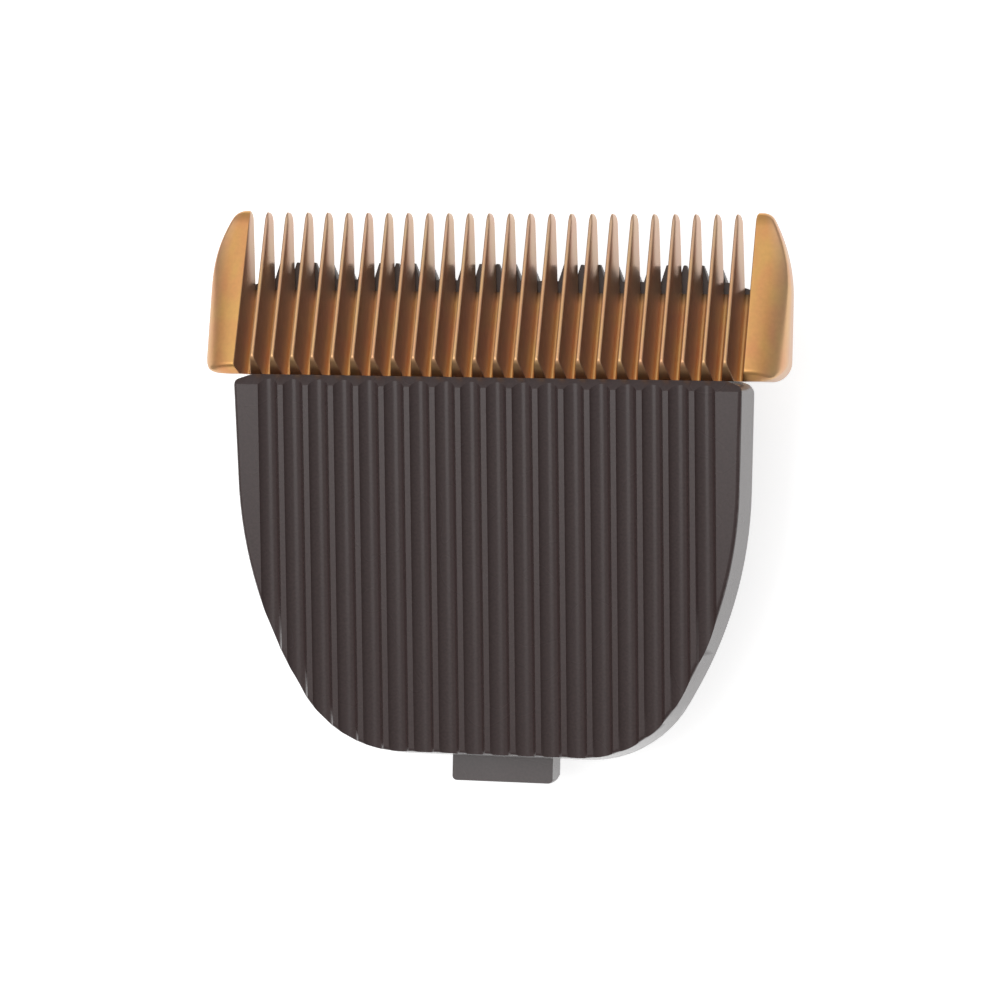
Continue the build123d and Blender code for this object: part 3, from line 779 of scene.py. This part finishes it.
def rounded_copy(node, name, radius):
    """The CAD node's shape with its sharp edges rounded, as a piece."""
    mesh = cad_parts[node].data.copy()
    mesh.name = name
    work = bmesh.new()
    work.from_mesh(mesh)
    bmesh.ops.remove_doubles(work, verts=work.verts, dist=CAD_MERGE)
    bmesh.ops.dissolve_limit(work, angle_limit=FLAT_TURN, verts=work.verts, edges=work.edges)
    work.to_mesh(mesh)
    work.free()
    piece = new_piece(name, mesh)
    with bpy.context.temp_override(object=piece, active_object=piece, selected_objects=[piece]):
        bpy.ops.mesh.customdata_custom_splitnormals_clear()
    mesh.shade_smooth()
    edge = piece.modifiers.new("edges", "BEVEL")
    edge.width = radius
    edge.segments = EDGE_SEGMENTS
    edge.limit_method = "ANGLE"
    edge.angle_limit = EDGE_TURN
    shading = piece.modifiers.new("shading", "WEIGHTED_NORMAL")
    shading.keep_sharp = True
    return piece


def finish_piece(piece, material, node, body):
    """Give a piece its finish and let it stand for a CAD node."""
    piece.data.materials.clear()
    piece.data.materials.append(material)
    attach(piece, body)
    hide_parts(node)


def flange_mesh(comb, shape):
    """The plate behind the comb, with its two screw holes, as a flat curve made solid."""
    curve = bpy.data.curves.new("comb_flange", "CURVE")
    curve.dimensions = "2D"
    curve.fill_mode = "BOTH"
    curve.extrude = comb.flange_thickness / 2
    half = comb.flange_width / 2
    rear = COMB_LOW.y
    corner = comb.flange_corner
    turns = np.linspace(0, math.pi / 2, CORNER_POINTS)
    outline = [(half, shape.rear_y + comb.edge_radius)]
    outline += [(half - corner + corner * math.cos(a), rear + corner - corner * math.sin(a)) for a in turns]
    outline += [(-x, y) for x, y in reversed(outline)]
    screw_y = (SCREWS_LOW.y + SCREWS_HIGH.y) / 2
    screw_x = SCREWS_HIGH.x - (SCREWS_HIGH.y - SCREWS_LOW.y) / 2
    ring = np.linspace(0, 2 * math.pi, HOLE_POINTS + 1)[:-1]
    hole = comb.hole_diameter / 2
    loops = [outline]
    for x in (screw_x, -screw_x):
        loops.append([(x + hole * math.cos(a), screw_y + hole * math.sin(a)) for a in ring])
    for loop in loops:
        spline = curve.splines.new("POLY")
        spline.points.add(len(loop) - 1)
        spline.use_cyclic_u = True
        for point, (x, y) in zip(spline.points, loop):
            point.co = (x, y, 0, 1)
    piece = new_piece("comb_flange", curve)
    mesh = evaluated_mesh(piece)
    bpy.data.objects.remove(piece)
    mesh.transform(Matrix.Translation((0, 0, shape.plane + comb.flange_thickness / 2)))
    return mesh


def screw_profile(screws):
    """Half outline of a screw from the middle of its head to its end, as (radius, height)."""
    low, high = SCREWS_LOW.z, SCREWS_HIGH.z
    head = (SCREWS_HIGH.y - SCREWS_LOW.y) / 2
    seat = low + screws.head_height
    flat = screws.head_flat / 2
    rim = seat - screws.head_rim
    dome = [(flat, low), *arc((flat, low), (head, low), (head, rim), DOME_POINTS)]
    shank = screws.shank_diameter / 2
    root = shank - screws.thread_depth
    threads = [(shank, seat)]
    turn = seat + screws.thread_pitch
    flank = screws.thread_pitch / 4
    while turn + screws.thread_pitch / 2 < high:
        threads += [(shank, turn - flank), (root, turn), (shank, turn + flank)]
        turn += screws.thread_pitch
    return [(0.0, low), *dome, (head, seat), *threads, (root, high), (0.0, high)]


def screw_mesh(screws):
    """One pan-head screw with a cross recess, about X = 0."""
    turns = np.linspace(0, 2 * math.pi, SCREW_POINTS + 1)
    middle = (SCREWS_LOW.y + SCREWS_HIGH.y) / 2
    profile = screw_profile(screws)
    rows = [[(r * math.cos(a), middle + r * math.sin(a), z) for a in turns] for r, z in profile]
    mesh = bpy.data.meshes.new("pan_head_screw")
    mesh.from_pydata([p for row in rows for p in row], [], skin(rows))
    tidy(mesh, SCREW_SHARP)
    piece = new_piece("pan_head_screw", mesh)
    bars = bmesh.new()
    long, wide, deep = screws.recess_length, screws.recess_width, 2 * screws.recess_depth
    for x, y in ((long, wide), (wide, long)):
        place = Matrix.Translation((0, middle, SCREWS_LOW.z)) @ Matrix.Diagonal((x, y, deep, 1))
        bmesh.ops.create_cube(bars, size=1, matrix=place)
    recess = bpy.data.meshes.new("cross_recess")
    bars.to_mesh(recess)
    bars.free()
    cross = new_piece("cross_recess", recess)
    cut = piece.modifiers.new("recess", "BOOLEAN")
    cut.operation = "DIFFERENCE"
    cut.object = cross
    cut.use_self = True
    done = evaluated_mesh(piece)
    for each in (piece, cross):
        bpy.data.objects.remove(each)
    return tidy(done, SCREW_SHARP)


def white_floor(values):
    """The floor that the head lies on."""
    half = values.stage.floor_width / 2
    mesh = bpy.data.meshes.new("floor")
    corners = [(x, y, CAD_LOW.z) for x, y in ((-half, -half), (half, -half), (half, half), (-half, half))]
    mesh.from_pydata(corners, [], [(0, 1, 2, 3)])
    floor = new_piece("floor", mesh)
    mesh.materials.append(white_card(values.finish, values.stage.floor_glow))


def room_light(stage):
    """A white room that is brightest overhead, a little towards the tips, and dims all round."""
    world = bpy.data.worlds.new("room")
    world.use_nodes = True
    tree = world.node_tree
    tree.nodes.clear()
    sky = add(tree, "ShaderNodeTexCoord").outputs["Generated"]
    facing = {0: sky, 1: Vector(stage.room_axis).normalized()}
    bright = add(tree, "ShaderNodeVectorMath", facing, operation="DOT_PRODUCT").outputs["Value"]
    levels = spread(bright, stage.room_dim, stage.room_bright, (stage.room_dark, 1.0))
    level = add(tree, "ShaderNodeMapRange", levels).outputs[0]
    room = add(tree, "ShaderNodeBackground", {"Color": (1, 1, 1, 1), "Strength": level})
    add(tree, "ShaderNodeOutputWorld", {"Surface": room.outputs[0]})
    return world


def soft_box(stage):
    """A wide lamp overhead that leans to the left and to the tips."""
    lamp = bpy.data.lights.new("soft_box", "AREA")
    lamp.shape = "RECTANGLE"
    lamp.size, lamp.size_y = stage.box_width, stage.box_length
    lamp.energy = stage.box_power
    box = new_piece("soft_box", lamp)
    lean = Matrix.Rotation(-stage.box_side, 4, "Y") @ Matrix.Rotation(-stage.box_front, 4, "X")
    box.matrix_world = lean @ Matrix.Translation((0, 0, stage.box_height))
    box.visible_camera = False


def product_camera(stage):
    """A long lens above the head, a little to its right."""
    view = bpy.data.cameras.new("camera")
    view.sensor_width = stage.sensor
    view.lens = stage.lens
    view.shift_x, view.shift_y = stage.shift
    view.clip_start = 10 * MM
    camera = new_piece("camera", view)
    turn = Matrix.Rotation(stage.lean, 4, "Y") @ Matrix.Rotation(stage.roll, 4, "Z")
    camera.matrix_world = Matrix.Translation(stage.eye) @ turn
    return camera


class BLADEHEAD_OT_comb(Operator):
    """Make the ground comb: a row of teeth between two cheeks, with the plate behind it"""

    bl_idname = "blade_head.comb"
    bl_label = "Comb"

    def execute(self, context):
        values = settings(context)
        comb = values.comb
        shape = CombShape(comb)
        cheeks = bmesh.new()
        for part in (shape.cheek(1), shape.cheek(-1), flange_mesh(comb, shape)):
            cheeks.from_mesh(part)
            bpy.data.meshes.remove(part)
        mesh = bpy.data.meshes.new("ground_comb")
        cheeks.to_mesh(mesh)
        cheeks.free()
        piece = new_piece("ground_comb", mesh)
        tooth = new_piece("comb_tooth", shape.tooth())
        material = nitride_on_ground_steel(values.finish)
        inputs = {"Shape": tooth, "Count": comb.tooth_count, "Pitch": comb.pitch, "Finish": material}
        run_tree(piece, row_along_x("row_of_teeth"), inputs)
        bpy.data.objects.remove(tooth)
        tidy(piece.data, COMB_SHARP)
        piece.modifiers.new("shading", "WEIGHTED_NORMAL").keep_sharp = True
        finish_piece(piece, material, "fixed_blade", "holder")
        return {"FINISHED"}


class BLADEHEAD_OT_cutter(Operator):
    """Make the ceramic cutter under the comb"""

    bl_idname = "blade_head.cutter"
    bl_label = "Cutter"

    def execute(self, context):
        values = settings(context)
        piece = rounded_copy("moving_blade", "ceramic_cutter", values.edges.cutter)
        finish_piece(piece, lapped_zirconia(values.finish), "moving_blade", "cutter")
        return {"FINISHED"}


class BLADEHEAD_OT_driver(Operator):
    """Make the moulded driver that carries the cutter"""

    bl_idname = "blade_head.driver"
    bl_label = "Driver"

    def execute(self, context):
        values = settings(context)
        piece = rounded_copy("cutter_driver", "slotted_driver", values.edges.driver)
        material = moulded_plastic("moulded_acetal", values.finish.driver, roughness=0.36, sheen=0.0)
        finish_piece(piece, material, "cutter_driver", "cutter")
        return {"FINISHED"}


class BLADEHEAD_OT_holder(Operator):
    """Make the fluted holder"""

    bl_idname = "blade_head.holder"
    bl_label = "Holder"

    def execute(self, context):
        values = settings(context)
        piece = rounded_copy("blade_holder", "fluted_holder", values.edges.holder)
        material = moulded_plastic("moulded_satin_plastic", values.finish.holder, roughness=0.26, sheen=0.3)
        finish_piece(piece, material, "blade_holder", "holder")
        return {"FINISHED"}


class BLADEHEAD_OT_screws(Operator):
    """Make the two screws that hold the comb"""

    bl_idname = "blade_head.screws"
    bl_label = "Screws"

    def execute(self, context):
        values = settings(context)
        screws = values.screws
        plating = values.finish.plating
        material = bare_metal("zinc_plated_steel", plating, roughness=0.3, lengths=(0.1, 0.1, 0.1))
        piece = new_piece("pan_head_screws", bpy.data.meshes.new("pan_head_screws"))
        one = new_piece("pan_head_screw", screw_mesh(screws))
        inputs = {"Shape": one, "Count": screws.count, "Pitch": screws.spacing, "Finish": material}
        run_tree(piece, row_along_x("row_of_screws"), inputs)
        bpy.data.objects.remove(one)
        finish_piece(piece, material, "blade_screws", "holder")
        return {"FINISHED"}


class BLADEHEAD_OT_spring(Operator):
    """Finish the tension spring"""

    bl_idname = "blade_head.spring"
    bl_label = "Spring"

    def execute(self, context):
        steel = settings(context).finish.wire
        wire = bare_metal("drawn_spring_wire", steel, roughness=0.25, lengths=(0.05, 1.5, 0.05))
        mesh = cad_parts["tension_spring"].data
        mesh.materials.clear()
        mesh.materials.append(wire)
        return {"FINISHED"}


class BLADEHEAD_OT_stage(Operator):
    """Set up the white floor, the soft box, the room's light and the camera"""

    bl_idname = "blade_head.stage"
    bl_label = "Stage"

    def execute(self, context):
        values = settings(context)
        scene = context.scene
        scene.view_settings.view_transform = "Standard"
        white_floor(values)
        scene.world = room_light(values.stage)
        soft_box(values.stage)
        scene.camera = product_camera(values.stage)
        return {"FINISHED"}


class BLADEHEAD_PT_panel(Panel):
    """Buttons and settings of the blade head"""

    bl_idname = "BLADEHEAD_PT_panel"
    bl_label = "Blade Head"
    bl_space_type = "VIEW_3D"
    bl_region_type = "UI"
    bl_category = "Blade Head"

    def draw(self, context):
        layout = self.layout
        for operator in OPERATORS:
            layout.operator(operator.bl_idname)
        values = settings(context)
        for group in ("comb", "edges", "screws", "finish", "stage"):
            box = layout.box()
            part = getattr(values, group)
            for name in part.__annotations__:
                box.prop(part, name)


GROUPS = (CombSettings, EdgeSettings, ScrewSettings, FinishSettings, StageSettings, BladeHeadSettings)
OPERATORS = (
    BLADEHEAD_OT_comb,
    BLADEHEAD_OT_cutter,
    BLADEHEAD_OT_driver,
    BLADEHEAD_OT_holder,
    BLADEHEAD_OT_screws,
    BLADEHEAD_OT_spring,
    BLADEHEAD_OT_stage,
)
CLASSES = (*GROUPS, *OPERATORS, BLADEHEAD_PT_panel)


def register():
    for each in CLASSES:
        bpy.utils.register_class(each)
    bpy.types.Scene.blade_head = PointerProperty(type=BladeHeadSettings)


def unregister():
    del bpy.types.Scene.blade_head
    for each in reversed(CLASSES):
        bpy.utils.unregister_class(each)


def main():
    register()
    bpy.ops.blade_head.comb()
    bpy.ops.blade_head.cutter()
    bpy.ops.blade_head.driver()
    bpy.ops.blade_head.holder()
    bpy.ops.blade_head.screws()
    bpy.ops.blade_head.spring()
    bpy.ops.blade_head.stage()


if __name__ == "__main__":
    main()
